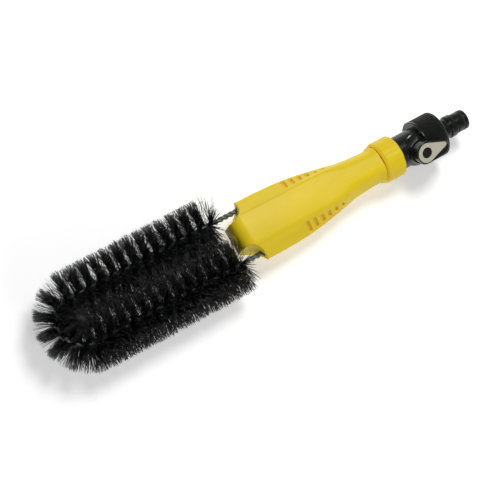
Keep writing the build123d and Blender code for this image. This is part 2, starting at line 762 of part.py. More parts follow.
# ---- Union nut -------------------------------------------------------------------------------
with BuildPart() as union_nut:
    with BuildSketch(cross_plane(nut_front_x)):
        Circle(nut_radius)
        with PolarLocations(nut_radius + nut_groove_stand, nut_ribs):
            Circle(nut_groove_radius, mode=Mode.SUBTRACT)
    extrude(amount=nut_length)
    with BuildSketch(Plane.XY):
        with BuildLine():
            Polyline(
                (nut_front_x, 0), (nut_front_x, nut_radius - nut_chamfer),
                (nut_front_x + nut_chamfer, nut_radius), (nut_rear_x - nut_chamfer, nut_radius),
                (nut_rear_x, nut_radius - nut_chamfer), (nut_rear_x, 0), close=True,
            )
        make_face()
    revolve(axis=Axis.X, mode=Mode.INTERSECT)
    for start, end, radius in (
        (nut_front_x, nut_rear_x - nut_wall, pipe_radius + turn_gap),
        (nut_rear_x - nut_wall, nut_rear_x, neck_radius + turn_gap),
    ):
        with BuildSketch(cross_plane(start)):
            Circle(radius)
        extrude(amount=end - start, mode=Mode.SUBTRACT)
save(union_nut, "union_nut")

# ---- Hose plug, its gasket and O-ring --------------------------------------------------------
hose_plug = turned((
    (plug_flange_x, plug_bore_radius), (plug_flange_x, plug_flange_radius),
    (plug_flange_rear_x, plug_flange_radius), (plug_flange_rear_x, neck_radius),
    (relief_x, neck_radius), (relief_x, relief_radius),
    (lock_ridge_x, relief_radius), (lock_ridge_x, lock_ridge_radius - ridge_front_drop),
    (lock_ridge_x + ridge_front_slope, lock_ridge_radius),
    (lock_groove_x - ridge_rear_slope, lock_ridge_radius),
    (lock_groove_x, lock_ridge_radius - ridge_rear_drop), (lock_groove_x, lock_groove_radius),
    (-barrel_end_x, lock_groove_radius), (-barrel_end_x, barrel_radius),
    (barrel_end_x, barrel_radius), (barrel_end_x, ring_groove_radius),
    (tip_start_x, ring_groove_radius), (tip_start_x, barrel_radius),
    (plug_tip_x - tip_chamfer, barrel_radius), (plug_tip_x, barrel_radius - tip_chamfer),
    (plug_tip_x, plug_bore_radius),
))
save(hose_plug, "hose_plug")

plug_gasket = ring(
    valve_rear_x, gasket_width, plug_flange_radius - plug_gasket_rim, plug_bore_radius + plug_gasket_bore
)
save(plug_gasket, "plug_gasket")

plug_ring_radius = (barrel_radius + plug_ring_stand - ring_groove_radius) / 2
with BuildPart() as plug_o_ring:
    with BuildSketch(Plane.XY):
        with Locations(((barrel_end_x + tip_start_x) / 2, ring_groove_radius + plug_ring_radius)):
            Circle(plug_ring_radius)
    revolve(axis=Axis.X)
save(plug_o_ring, "plug_o_ring")
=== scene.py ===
"""Flow-through wheel brush: handle, valve, wire loop and bristles in one frame."""
import math

import bpy
import numpy as np
from bpy.props import FloatProperty, FloatVectorProperty, IntProperty, PointerProperty
from mathutils import Matrix, Vector


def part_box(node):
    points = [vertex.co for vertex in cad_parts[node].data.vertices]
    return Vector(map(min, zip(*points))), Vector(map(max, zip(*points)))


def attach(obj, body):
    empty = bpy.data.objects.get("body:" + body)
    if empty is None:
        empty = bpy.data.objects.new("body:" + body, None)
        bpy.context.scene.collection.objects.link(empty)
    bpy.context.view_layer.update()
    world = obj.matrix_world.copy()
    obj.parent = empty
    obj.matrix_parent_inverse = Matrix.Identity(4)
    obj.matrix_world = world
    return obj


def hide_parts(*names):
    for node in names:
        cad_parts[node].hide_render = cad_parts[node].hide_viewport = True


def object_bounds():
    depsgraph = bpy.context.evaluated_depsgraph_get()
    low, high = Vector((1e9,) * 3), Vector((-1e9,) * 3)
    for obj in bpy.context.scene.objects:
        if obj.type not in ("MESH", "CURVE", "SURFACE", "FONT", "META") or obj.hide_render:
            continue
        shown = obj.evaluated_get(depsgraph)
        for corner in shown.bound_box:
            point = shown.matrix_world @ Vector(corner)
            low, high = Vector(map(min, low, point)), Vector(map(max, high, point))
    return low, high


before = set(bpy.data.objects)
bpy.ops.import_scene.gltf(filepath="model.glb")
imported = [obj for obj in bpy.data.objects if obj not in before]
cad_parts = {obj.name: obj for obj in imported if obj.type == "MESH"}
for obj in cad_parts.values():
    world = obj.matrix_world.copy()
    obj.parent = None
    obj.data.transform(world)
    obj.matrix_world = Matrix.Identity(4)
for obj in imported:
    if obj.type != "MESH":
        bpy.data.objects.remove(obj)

bl_info = {
    "name": "Flow-Through Wheel Brush",
    "version": (1, 0, 0),
    "blender": (4, 5, 0),
    "location": "View3D > Sidebar > Wheel Brush",
    "description": "Builds a wheel brush with a split handle, a ball valve and a looped wire head",
    "category": "Object",
}

MM = 0.001
CAD_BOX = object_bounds()
SHELL_LOW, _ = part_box("handle_top_shell")
COLLAR_LOW, COLLAR_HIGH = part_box("collar_nut")
NUT_LOW, NUT_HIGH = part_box("union_nut")
PLUG_LOW, PLUG_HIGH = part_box("hose_plug")
NOZZLE_LOW, NOZZLE_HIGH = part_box("spray_nozzle")
WIRE_LOW, WIRE_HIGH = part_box("wire_strand_a")
NEAR_LOW, NEAR_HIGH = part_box("near_leg_bristles")
_, FAR_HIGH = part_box("far_leg_bristles")
TIP_LOW, TIP_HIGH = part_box("tip_bristles")
FERRULE_LOW, FERRULE_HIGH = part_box("far_wire_ferrule")
SCREW_LOW, SCREW_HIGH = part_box("handle_screws")

NOSE_X = SHELL_LOW.x
HANDLE_REAR_X = COLLAR_LOW.x - 0.3 * MM
HANDLE_LENGTH = HANDLE_REAR_X - NOSE_X
STRAND_RADIUS = (WIRE_HIGH.z - WIRE_LOW.z) / 2
LEG_Y = (FERRULE_LOW.y + FERRULE_HIGH.y) / 2
LOOP_CENTRE_X = WIRE_LOW.x + STRAND_RADIUS + LEG_Y


# ---- Settings -----------------------------------------------------------------------------------
def length_setting(name, default, description):
    return FloatProperty(name=name, default=default, description=description, unit="LENGTH")


def angle_setting(name, degrees, description):
    return FloatProperty(name=name, default=math.radians(degrees), description=description, subtype="ANGLE")


def colour_setting(name, default, description):
    return FloatVectorProperty(
        name=name, default=default, description=description, subtype="COLOR", size=3, min=0, max=1
    )


class HandleSettings(bpy.types.PropertyGroup):
    """Sizes of the two handle shells."""
    bite_radius: length_setting("Bite radius", 15.5 * MM, "Radius of the hollows beside the nose")
    bite_reach: length_setting("Bite reach", 0.5 * MM, "Hollow's centre behind the nose face")
    bite_spread: length_setting("Bite spread", 26.0 * MM, "Hollow's centre from the tool's axis")
    nose_round: length_setting("Nose rounding", 10.0 * MM, "Rounding of the nose above and below")
    crown: length_setting("Crown", 0.55 * MM, "Fall of the flat top from its middle to its edges")
    edge_round: length_setting("Edge rounding", 0.9 * MM, "Rounding of the hollows' edges")
    seam_depth: length_setting("Seam depth", 0.22 * MM, "Depth of the groove between the shells")
    slot_depth: length_setting("Slot depth", 1.3 * MM, "Depth of the grip slots")
    slot_count: IntProperty(name="Slots", default=6, min=1, description="Grip slots in one row")
    columns: IntProperty(name="Columns", default=96, min=24, description="Mesh columns on half a shell")


class TurnedSettings(bpy.types.PropertyGroup):
    """Sizes of the collar and the union nut."""
    collar_flutes: IntProperty(name="Collar flutes", default=12, min=3, description="Flutes round the collar")
    flute_depth: length_setting("Flute depth", 0.35 * MM, "Depth of the collar's flutes")
    nut_ribs: IntProperty(name="Nut ribs", default=48, min=12, description="Ribs round the union nut")
    rib_height: length_setting("Rib height", 0.9 * MM, "Height of the union nut's ribs")
    segments: IntProperty(name="Segments", default=192, min=48, description="Mesh segments round the collar")


class WireSettings(bpy.types.PropertyGroup):
    """Sizes of the twisted wire loop."""
    bare_pitch: length_setting("Bare pitch", 9.0 * MM, "Length of one full twist beside the handle")
    brush_pitch: length_setting("Brush pitch", 19.2 * MM, "Length of one full twist in the bristles")
    step: length_setting("Step", 0.7 * MM, "Length of one mesh step along the wire")
    sides: IntProperty(name="Sides", default=10, min=6, description="Mesh sides of a strand")


class BristleSettings(bpy.types.PropertyGroup):
    """Number, size and disorder of the filaments."""
    per_metre: FloatProperty(name="Per metre", default=25000, description="Filaments to a metre of wire")
    thickness: length_setting("Thickness", 0.46 * MM, "Diameter of a filament at its root")
    tip_share: FloatProperty(name="Tip share", default=0.7, description="Tip diameter over root diameter")
    spread: FloatProperty(name="Spread", default=0.22, subtype="ANGLE", description="Scatter about the twist")
    loose: FloatProperty(name="Loose", default=0.20, description="Share of filaments that stray")
    lean: FloatProperty(name="Lean", default=0.12, subtype="ANGLE", description="Scatter along the wire")
    bend: length_setting("Bend", 1.1 * MM, "How far a filament's tip strays from straight")
    ragged: FloatProperty(name="Ragged", default=0.045, description="Scatter of the filaments' length")
    seed: IntProperty(name="Seed", default=7, description="Seed of the scatter")


class FinishSettings(bpy.types.PropertyGroup):
    """Colours of the finishes, and of the painted shade, in linear values."""
    yellow: colour_setting("Yellow", (0.78, 0.575, 0.012), "Handle and collar plastic")
    # Painted shade: a darker orange laid into the grip slots, the wire holes and the collar's front, where
    # shade falls.
    recess: colour_setting("Recess", (0.80, 0.44, 0.012), "Bottom of the grip slots")
    black: colour_setting("Black", (0.0065, 0.0075, 0.0065), "Valve, nut, lever and plug plastic")
    inlay: colour_setting("Inlay", (0.50, 0.47, 0.375), "Lever's light inlay")
    nylon: colour_setting("Nylon", (0.006, 0.0068, 0.0066), "Bristle filaments")
    wire: colour_setting("Wire", (0.150, 0.185, 0.165), "Coated wire")


class StageSettings(bpy.types.PropertyGroup):
    """Camera and light."""
    azimuth: angle_setting("Azimuth", -69.16, "Direction that the camera looks from")
    elevation: angle_setting("Elevation", 67.71, "Camera's height as an angle")
    roll: angle_setting("Roll", -39.56, "Turn of the camera about its own axis")
    distance: length_setting("Distance", 1.480, "Camera to the point it looks at")
    lens: FloatProperty(name="Lens", default=143.6, description="Focal length on a 36 mm sensor")
    aim: FloatVectorProperty(
        name="Aim", default=(-0.2021, -0.0121, 0.0), subtype="XYZ", unit="LENGTH",
        description="Point that the camera looks at",
    )
    overhead: FloatProperty(name="Overhead", default=0.09, description="Strength of the sky overhead")
    horizon: FloatProperty(name="Horizon", default=0.55, description="Strength of the sky at the horizon")
    key: FloatProperty(name="Key light", default=7.2, unit="POWER", description="Power of the key light")
    fill: FloatProperty(name="Fill light", default=2.8, unit="POWER", description="Power of the fill light")
    glint: FloatProperty(name="Glint light", default=0.5, unit="POWER", description="Power of the small lamp")


# ---- Shader maths -------------------------------------------------------------------------------
class Socket:
    """An output socket that takes part in Python arithmetic on single values."""

    def __init__(self, shader, link):
        self.shader = shader
        self.link = link

    def _math(self, operation, first, second):
        return self.shader.node("ShaderNodeMath", {"operation": operation}, {0: first, 1: second})

    def __add__(self, other):
        return self._math("ADD", self, other)

    __radd__ = __add__

    def __sub__(self, other):
        return self._math("SUBTRACT", self, other)

    def __rsub__(self, other):
        return self._math("SUBTRACT", other, self)

    def __mul__(self, other):
        return self._math("MULTIPLY", self, other)

    __rmul__ = __mul__


class Shader:
    """A material or sky under construction: its closing shader and the nodes that feed it."""

    def __init__(self, owner, closing="Principled BSDF"):
        self.owner = owner
        self.owner.use_nodes = True
        self.tree = owner.node_tree
        self.closing = self.tree.nodes[closing]

    def node(self, kind, settings, sockets, output=0):
        """A node of a kind, with its settings first and then its input values or links."""
        made = self.tree.nodes.new(kind)
        for key, value in settings.items():
            setattr(made, key, value)
        for key, value in sockets.items():
            if isinstance(value, Socket):
                self.tree.links.new(value.link, made.inputs[key])
            else:
                made.inputs[key].default_value = value
        return Socket(self, made.outputs[output])

    def noise(self, scale, detail=3.0, place=None):
        """Noise from 0 to 1 in object space; scale is in features per metre."""
        place = place or self.place()
        return self.node("ShaderNodeTexNoise", {}, {"Vector": place, "Scale": scale, "Detail": detail})

    def place(self):
        """Object coordinates."""
        return self.node("ShaderNodeTexCoord", {}, {}, output=3)

    def stretched(self, across):
        """Object coordinates scaled by a factor on each axis."""
        return self.node("ShaderNodeMapping", {}, {"Vector": self.place(), "Scale": across})

    def attribute(self, name):
        """A number stored on the mesh."""
        return self.node("ShaderNodeAttribute", {"attribute_name": name}, {}, output=2)

    def steps(self, value, low, high):
        """A value's rise from 0 at low to 1 at high."""
        return self.node("ShaderNodeMapRange", {}, {"Value": value, "From Min": low, "From Max": high})

    def mix(self, share, first, second):
        """Colour between two colours."""
        return self.node(
            "ShaderNodeMix", {"data_type": "RGBA"}, {0: share, 6: rgba(first), 7: rgba(second)}, output=2
        )

    def bump(self, height, strength, distance):
        """Surface relief from a height."""
        return self.node("ShaderNodeBump", {}, {"Height": height, "Strength": strength, "Distance": distance})

    def set(self, **inputs):
        """Sets or links the closing shader's sockets; an underscore stands for a space."""
        for key, value in inputs.items():
            socket = self.closing.inputs[key.replace("_", " ")]
            if isinstance(value, Socket):
                self.tree.links.new(value.link, socket)
            else:
                socket.default_value = rgba(value) if key.endswith("Color") else value
        return self.owner


def rgba(colour):
    """A colour with its alpha; a socket stays as it is."""
    return colour if isinstance(colour, Socket) else (*colour[:3], 1.0)


def shade(colour, factor):
    """A colour made darker or lighter."""
    return tuple(channel * factor for channel in colour)


def new_material(name):
    return Shader(bpy.data.materials.new(name))


# ---- Finishes -----------------------------------------------------------------------------------
STEEL_SHADES = ((0.48, 0.48, 0.50), (0.62, 0.62, 0.63))
RUBBER_SHADES = ((0.008, 0.008, 0.008), (0.026, 0.026, 0.026))
PALE_SHADES = ((0.70, 0.70, 0.66), (0.82, 0.82, 0.78))


def yellow_plastic(finish):
    """Satin yellow moulding with faint flow marks, and painted shade that darkens the bottom of its slots,
    its wire holes and the collar's front.
    """
    made = new_material("yellow_moulding")
    flow = made.noise(1.0, 4.0, made.stretched((18.0, 60.0, 60.0)))
    body = made.mix(made.steps(flow, 0.3, 0.7), shade(finish.yellow, 0.93), shade(finish.yellow, 1.05))
    # Painted shade: each vertex's share mixes the darker orange into the body colour.
    colour = made.mix(made.attribute("recess"), body, finish.recess)
    grain = made.noise(2600.0, 2.0)
    return made.set(
        Base_Color=colour,
        Roughness=made.noise(140.0, 3.0) * 0.12 + 0.36,
        Specular_IOR_Level=0.22,
        Normal=made.bump(grain, 0.12, 0.05 * MM),
    )


def black_plastic(finish):
    """Polished black moulding with soft dull patches and fine handling marks."""
    made = new_material("black_moulding")
    dust = made.noise(90.0, 5.0)
    marks = made.noise(1.0, 3.0, made.stretched((400.0, 2600.0, 2600.0)))
    return made.set(
        Base_Color=made.mix(dust, finish.black, shade(finish.black, 1.9)),
        Roughness=dust * 0.12 + marks * 0.05 + 0.08,
        Specular_IOR_Level=0.42,
        Normal=made.bump(marks, 0.10, 0.04 * MM),
    )


def inlay_plastic(finish):
    """Warm light grey moulding."""
    made = new_material("inlay_moulding")
    cloud = made.noise(260.0, 4.0)
    return made.set(
        Base_Color=made.mix(cloud, shade(finish.inlay, 0.95), shade(finish.inlay, 1.04)),
        Roughness=cloud * 0.1 + 0.38,
        Normal=made.bump(made.noise(3200.0, 2.0), 0.15, 0.03 * MM),
    )


def nylon_filament(finish):
    """Black nylon, a little lighter from one filament to the next."""
    made = new_material("nylon_filament")
    tone = made.attribute("tone")
    return made.set(
        Base_Color=made.mix(tone, shade(finish.nylon, 0.4), shade(finish.nylon, 2.2)),
        Roughness=tone * 0.15 + 0.28,
        Specular_IOR_Level=0.6,
    )


def coated_wire(finish):
    """Dark coated wire with a mottled coat."""
    made = new_material("coated_wire")
    mottle = made.noise(700.0, 5.0)
    return made.set(
        Base_Color=made.mix(mottle, shade(finish.wire, 0.6), shade(finish.wire, 1.4)),
        Roughness=mottle * 0.2 + 0.3,
        Metallic=0.25,
        Normal=made.bump(made.noise(1500.0, 4.0), 0.35, 0.12 * MM),
    )


def plated_steel():
    """Bright zinc plate with a fine lay."""
    made = new_material("plated_steel")
    lay = made.noise(1.0, 3.0, made.stretched((300.0, 4000.0, 4000.0)))
    return made.set(
        Base_Color=made.mix(lay, *STEEL_SHADES),
        Roughness=lay * 0.2 + 0.22,
        Metallic=1.0,
        Normal=made.bump(lay, 0.1, 0.02 * MM),
    )


def seal_rubber():
    """Dull black rubber."""
    made = new_material("seal_rubber")
    grain = made.noise(900.0, 5.0)
    return made.set(
        Base_Color=made.mix(grain, *RUBBER_SHADES),
        Roughness=grain * 0.2 + 0.5,
        Normal=made.bump(grain, 0.2, 0.04 * MM),
    )


def pale_plastic():
    """Natural, slightly milky tube and seat plastic."""
    made = new_material("pale_plastic")
    cloud = made.noise(200.0, 4.0)
    return made.set(
        Base_Color=made.mix(cloud, *PALE_SHADES),
        Roughness=cloud * 0.15 + 0.35,
        Normal=made.bump(made.noise(1800.0, 3.0), 0.1, 0.03 * MM),
    )


# ---- Mesh helpers -------------------------------------------------------------------------------
CORNER_ROOM = 0.48
LEAST_TURN = 1e-4
TINY = 1e-9
UP = np.array([0.0, 0.0, 1.0])


def mesh_piece(name, points, faces, material, body, slot, *nodes):
    """A smooth-shaded mesh that rides on a body and stands for CAD nodes."""
    mesh = bpy.data.meshes.new(name)
    mesh.from_pydata([tuple(p) for p in points], [], [tuple(f) for f in faces])
    mesh.validate()
    mesh.update()
    mesh.polygons.foreach_set("use_smooth", [True] * len(mesh.polygons))
    piece = bpy.data.objects.new(name, mesh)
    bpy.context.scene.collection.objects.link(piece)
    mesh.materials.append(material)
    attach(piece, body)
    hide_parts(*nodes)
    return piece


def add_values(piece, name, values):
    """One number for each vertex, for the material to read."""
    layer = piece.data.attributes.new(name, "FLOAT", "POINT")
    layer.data.foreach_set("value", np.asarray(values, np.float32))


def sharpen(piece, angle):
    """Keeps edges steeper than an angle sharp."""
    piece.data.set_sharp_from_angle(angle=angle)


def smooth_step(value, low, high):
    """A smooth rise from 0 at low to 1 at high."""
    share = np.clip((value - low) / (high - low), 0.0, 1.0)
    return share * share * (3 - 2 * share)


def rounded_path(points, radii, count):
    """Evenly spaced points on a path of straight lines whose corners are rounded."""
    points = [np.asarray(p, float) for p in points]
    parts, start = [], points[0]
    for before, corner, after, radius in zip(points, points[1:], points[2:], radii):
        into, out = corner - before, after - corner
        room = CORNER_ROOM * min(np.linalg.norm(into), np.linalg.norm(out))
        into, out = into / np.linalg.norm(into), out / np.linalg.norm(out)
        turn = math.acos(max(-1.0, min(1.0, float(into @ out))))
        if turn < LEAST_TURN or room < TINY:
            continue
        reach = min(radius * math.tan(turn / 2), room)
        radius = reach / math.tan(turn / 2)
        side = out - (into @ out) * into
        side /= np.linalg.norm(side)
        first = corner - into * reach
        parts.append((np.linalg.norm(first - start), start, first - start, None))
        parts.append((radius * turn, first, into, (radius, side)))
        start = corner + out * reach
    parts.append((np.linalg.norm(points[-1] - start), start, points[-1] - start, None))
    ends = np.cumsum([part[0] for part in parts])
    made = []
    for travelled in np.linspace(0, ends[-1], count):
        index = min(int(np.searchsorted(ends, travelled)), len(parts) - 1)
        size, origin, heading, arc = parts[index]
        into_part = travelled - (ends[index] - size)
        if arc is None:
            made.append(origin + heading * (into_part / max(size, TINY)))
        else:
            radius, side = arc
            angle = into_part / radius
            made.append(origin + heading * radius * math.sin(angle) + side * radius * (1 - math.cos(angle)))
    return np.array(made)


def smooth_curve(places, values):
    """A curve through the values that never overshoots between them."""
    places, values = np.asarray(places, float), np.asarray(values, float)
    gaps = np.diff(places)
    rises = np.diff(values) / gaps
    slopes = np.zeros(len(values))
    for index in range(1, len(values) - 1):
        left, right = rises[index - 1], rises[index]
        if left * right > 0:
            near, far = 2 * gaps[index] + gaps[index - 1], gaps[index] + 2 * gaps[index - 1]
            slopes[index] = (near + far) / (near / left + far / right)

    def read(place):
        index = int(np.clip(np.searchsorted(places, place) - 1, 0, len(gaps) - 1))
        gap = gaps[index]
        share = min(max((place - places[index]) / gap, 0.0), 1.0)
        rest = 1 - share
        return (
            values[index] * (1 + 2 * share) * rest ** 2 + values[index + 1] * share ** 2 * (3 - 2 * share)
            + gap * share * rest * (slopes[index] * rest - slopes[index + 1] * share)
        )

    return read


def grid_faces(rows, columns, closed):
    """Quads of a grid of points, row by row; closed joins the last column to the first."""
    first = np.arange(columns if closed else columns - 1)
    after = (first + 1) % columns
    faces = []
    for row in range(rows - 1):
        low, high = row * columns, (row + 1) * columns
        faces.extend(zip(low + first, low + after, high + after, high + first))
    return faces


def turned_piece(name, profile, segments, material, body, slot, nodes, swell=None):
    """A body turned round the tool's axis from (x, radius) points: a closed ring, or axis to axis."""
    profile = np.asarray(profile, float)
    angles = np.linspace(0, 2 * math.pi, segments, endpoint=False)
    solid = profile[0, 1] < TINY
    rings = profile[1:-1] if solid else profile
    points = []
    for x, radius in rings:
        radii = radius + (swell(x, radius, angles) if swell else 0.0)
        points.extend(zip(np.full(segments, x), radii * np.cos(angles), radii * np.sin(angles)))
    faces = grid_faces(len(rings), segments, True)
    base = (len(rings) - 1) * segments
    first, last = len(points), len(points) + 1
    if solid:
        points.extend([(profile[0, 0], 0, 0), (profile[-1, 0], 0, 0)])
    for index in range(segments):
        after = (index + 1) % segments
        if solid:
            faces.append((first, after, index))
            faces.append((last, base + index, base + after))
        else:
            faces.append((base + index, base + after, after, index))
    return mesh_piece(name, points, faces, material, body, slot, *nodes)


# ---- Handle -------------------------------------------------------------------------------------
# Share of the handle's length from the nose, half width, half height, half width of the flat
# top and corner radius, in millimetres.
HANDLE_SECTIONS = (
    (0.00, 25.3, 14.5, 12.2, 2.2),
    (0.20, 25.4, 14.6, 12.2, 2.2),
    (0.36, 24.7, 14.4, 12.2, 2.3),
    (0.50, 22.8, 14.1, 12.3, 2.6),
    (0.60, 20.5, 13.9, 12.4, 3.2),
    (0.69, 18.3, 13.8, 12.1, 5.0),
    (0.76, 16.6, 13.7, 10.5, 8.5),
    (0.85, 15.9, 13.65, 8.8, 11.5),
    (0.96, 15.7, 13.6, 7.85, 13.3),
    (1.00, 17.8, 13.6, 8.9, 12.4),
)
SLOT_SPAN = (0.420, 0.675)              # first and last slot's place, over the handle's length
SLOT_LENGTHS = (11.6 * MM, 3.6 * MM)
SLOT_WIDTHS = (3.2 * MM, 2.6 * MM)
SLOT_LEAN = math.radians(13.0)
SLOT_DROP = 0.9 * MM                    # slot's middle below the middle of the slope
SLOT_WALL = (-0.45 * MM, 0.25 * MM)     # where a slot's wall ends and starts, about its outline
# Share of painted shade at a slot's bottom.
SLOT_SHADE = 0.9
SEAM_GAP = 0.05 * MM                    # a shell's edge from the mid plane
SEAM_REACH = 0.55 * MM
WIRE_HOLE = (2.2 * MM, 2.75 * MM)       # radius at the bottom and the mouth
WIRE_HOLE_DEPTH = 3.0 * MM
SCREW_HEAD = 2.9 * MM
SCREW_RECESS = 2.95 * MM
SCREW_EDGE = 0.22 * MM                  # mesh points this near a recess's rim move onto it
SCREW_WALL = 0.02 * MM
SCREW_SEAT = -8.0 * MM
SCREW_XS = (SCREW_LOW.x + SCREW_HEAD, SCREW_HIGH.x - SCREW_HEAD)
SCREW_Y = SCREW_HIGH.y - SCREW_HEAD
FINE_ROW, COARSE_ROW = 0.3 * MM, 1.0 * MM
FINE_MARGINS = (4.0 * MM, 0.5 * MM)     # fine rows beyond the slots and beyond a screw
LEAST_ROW = 0.004 * MM
LEAST_CHAMFER = 0.02 * MM


class HandleForm:
    """The handle's outer form, section by section."""

    def __init__(self, settings):
        self.settings = settings
        shares = [row[0] for row in HANDLE_SECTIONS]
        self.curves = [
            smooth_curve(shares, [row[column] * MM for row in HANDLE_SECTIONS]) for column in (1, 2, 3, 4)
        ]
        self.bite_x = NOSE_X + settings.bite_reach

    def sizes(self, x):
        """Half width, half height, half width of the flat and corner radius at x."""
        share = (x - NOSE_X) / HANDLE_LENGTH
        return [curve(share) for curve in self.curves]

    def bite_limit(self, x):
        """How far the section reaches from the axis beside a hollow."""
        settings = self.settings
        ahead = x - self.bite_x
        if ahead >= settings.bite_radius:
            return settings.bite_spread
        return settings.bite_spread - math.sqrt(settings.bite_radius ** 2 - ahead ** 2)

    def height(self, x):
        """Half height at x, less what the rounded nose leaves off."""
        radius = self.settings.nose_round
        short = max(radius - (x - NOSE_X), 0.0)
        return self.sizes(x)[1] - radius + math.sqrt(radius ** 2 - short ** 2)

    def half_section(self, x, count):
        """Points from the middle of the top down to the seam and on, for y above zero."""
        wide, high, flat, corner = self.sizes(x)
        edge = self.settings.edge_round
        short = max(edge - (x - NOSE_X), 0.0)
        limit = self.bite_limit(x) - edge + math.sqrt(edge ** 2 - short ** 2)
        top = self.height(x)
        shoulder = flat + (wide - flat) * (1 - top / high)
        if limit >= wide:
            path = [(0, top), (shoulder, top), (wide, 0), (shoulder, -top), (0, -top)]
            radii = [corner] * 3
        elif limit > shoulder + LEAST_CHAMFER:
            drop = high * (wide - limit) / (wide - flat)
            path = [(0, top), (shoulder, top), (limit, drop)]
            path += [(x, -z) for x, z in reversed(path)]
            radii = [corner, edge, edge, corner]
        else:
            path = [(0, top), (limit, top), (limit, -top), (0, -top)]
            radii = [edge, edge]
        points = rounded_path(path, radii, 2 * count + 1)[: count + 1]
        across = np.minimum(points[:, 0] / flat, 1.0)
        points[:, 1] -= self.settings.crown * across ** 2 * points[:, 1] / high
        return points

    def rows(self):
        """Place of every section, closest where the form turns quickest."""
        settings = self.settings
        quarter = math.pi / 2
        places = [NOSE_X + settings.nose_round * (1 - math.cos(a)) for a in np.linspace(0, quarter, 31)]
        places += [NOSE_X + settings.edge_round * (1 - math.cos(a)) for a in np.linspace(0, quarter, 7)]
        widest = self.sizes(NOSE_X + settings.bite_radius)[0]
        end = math.acos((settings.bite_spread - widest) / settings.bite_radius)
        places += [self.bite_x + settings.bite_radius * math.sin(a) for a in np.linspace(0, end, 72)[1:]]
        x = max(places)
        slots = [NOSE_X + share * HANDLE_LENGTH for share in SLOT_SPAN]
        while x < HANDLE_REAR_X:
            by_slot = slots[0] - FINE_MARGINS[0] < x < slots[1] + FINE_MARGINS[0]
            by_screw = min(abs(x - screw) for screw in SCREW_XS) < SCREW_RECESS + FINE_MARGINS[1]
            x = min(x + (FINE_ROW if by_slot or by_screw else COARSE_ROW), HANDLE_REAR_X)
            places.append(x)
        kept = []
        for place in sorted(places):
            if not kept or place - kept[-1] > LEAST_ROW:
                kept.append(place)
        return kept


def slot_depth_at(form, settings, points):
    """How deep each point of the handle lies in a grip slot, from 0 to 1."""
    deepest = np.zeros(len(points))
    lean, level = math.sin(SLOT_LEAN), math.cos(SLOT_LEAN)
    for index in range(settings.slot_count):
        along = index / max(settings.slot_count - 1, 1)
        x = NOSE_X + (SLOT_SPAN[0] + (SLOT_SPAN[1] - SLOT_SPAN[0]) * along) * HANDLE_LENGTH
        length = SLOT_LENGTHS[0] + (SLOT_LENGTHS[1] - SLOT_LENGTHS[0]) * along
        width = SLOT_WIDTHS[0] + (SLOT_WIDTHS[1] - SLOT_WIDTHS[0]) * along
        wide, high, flat, _ = form.sizes(x)
        slope = math.hypot(high, wide - flat)
        down = np.array([(wide - flat) / slope, -high / slope])
        across = np.column_stack((np.abs(points[:, 1]) - (wide + flat) / 2, points[:, 2] - high / 2))
        fall = across @ down - SLOT_DROP
        along_tool = points[:, 0] - x
        run = np.abs(fall * level + along_tool * lean) - (length - width) / 2
        away = np.hypot(np.maximum(run, 0), along_tool * level - fall * lean) - width / 2
        deepest = np.maximum(deepest, 1 - smooth_step(away, *SLOT_WALL))
    return deepest


def sink_screws(points):
    """Screw recesses in the bottom shell, for points with z measured down from the seam."""
    for x in SCREW_XS:
        for y in (-SCREW_Y, SCREW_Y):
            off = points[:, :2] - (x, y)
            away = np.maximum(np.hypot(off[:, 0], off[:, 1]), TINY)
            low = points[:, 2] > -SCREW_SEAT
            inside = low & (away < SCREW_RECESS)
            inner = inside & (away > SCREW_RECESS - SCREW_EDGE)
            outer = low & ~inside & (away < SCREW_RECESS + SCREW_EDGE)
            for near, place in ((inner, SCREW_RECESS - SCREW_WALL), (outer, SCREW_RECESS + SCREW_WALL)):
                points[near, :2] = (x, y) + off[near] * (place / away[near])[:, None]
            points[inside, 2] = -SCREW_SEAT


def handle_shell(name, side, settings, material, node):
    """One shell: the form above or below the seam, closed across the seam and at both ends."""
    form = HandleForm(settings)
    rows = form.rows()
    half = [form.half_section(x, settings.columns) for x in rows]
    points = []
    for x, section in zip(rows, half):
        full = np.vstack((section[::-1] * (-1, 1), section[1:]))
        points.extend((x, y, z) for y, z in full)
    points = np.array(points)
    columns = 2 * settings.columns + 1
    depth = slot_depth_at(form, settings, points)
    groove = 1 - smooth_step(points[:, 2], SEAM_GAP, SEAM_REACH)
    for index, x in enumerate(rows):
        wide, high, flat, _ = form.sizes(x)
        slope = math.hypot(high, wide - flat)
        block = slice(index * columns, (index + 1) * columns)
        sides = np.sign(points[block, 1])
        cut = depth[block] * settings.slot_depth
        points[block, 1] -= sides * (cut * high / slope + groove[block] * settings.seam_depth)
        points[block, 2] -= cut * (wide - flat) / slope
    wire = np.hypot(np.abs(points[:, 1]) - LEG_Y, points[:, 2])
    in_bite = points[:, 0] < form.bite_x + settings.bite_radius
    hole = in_bite * (1 - smooth_step(wire, *WIRE_HOLE))
    points[:, 0] += hole * WIRE_HOLE_DEPTH
    points[:, 2] = np.maximum(points[:, 2], SEAM_GAP)
    if side < 0:
        sink_screws(points)
    points[:, 2] *= side
    faces = grid_faces(len(rows), columns, False)
    for index in range(len(rows) - 1):
        low, high = index * columns, (index + 1) * columns
        faces.append((low + columns - 1, low, high, high + columns - 1))
    faces.append(tuple(range(columns))[::-1])
    last = (len(rows) - 1) * columns
    faces.append(tuple(range(last, last + columns)))
    if side > 0:
        faces = [face[::-1] for face in faces]
    piece = mesh_piece(name, points, faces, material, "tool", "handle_plastic", node)
    # Painted shade in the grip slots and the wire holes, for the material to darken them.
    add_values(piece, "recess", np.maximum(depth * SLOT_SHADE, hole))
    sharpen(piece, math.radians(60))
    return piece


